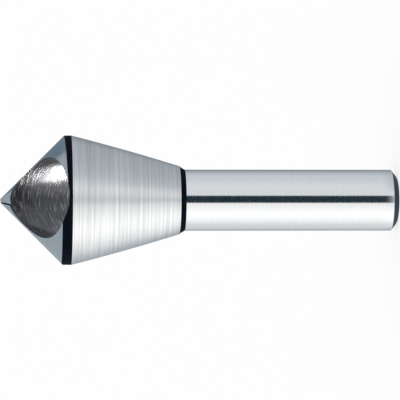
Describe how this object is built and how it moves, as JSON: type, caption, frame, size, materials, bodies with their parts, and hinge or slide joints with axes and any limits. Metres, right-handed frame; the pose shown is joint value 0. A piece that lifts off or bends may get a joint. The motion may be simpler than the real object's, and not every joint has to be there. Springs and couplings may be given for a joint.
{
  "type": "countersink bit",
  "caption": "Single-lip 90 degree cross-hole countersink bit, 21.1 mm head, 10 mm cylindrical shank, 65 mm long, ground tool steel with a black land and shoulder.",
  "frame": {"origin": "centre of the flat end of the shank, on which the bit stands", "axes": "+Z along the tool from the shank to the point; the cross hole opens through the cone towards -Y"},
  "size_m": [0.021, 0.021, 0.065],
  "materials": {
    "tool_steel": "ground bright, with the land, the shoulder and the inside of the hole left dark"
  },
  "bodies": {
    "root": {"countersink_bit": "tool_steel"}
  },
  "joints": []
}
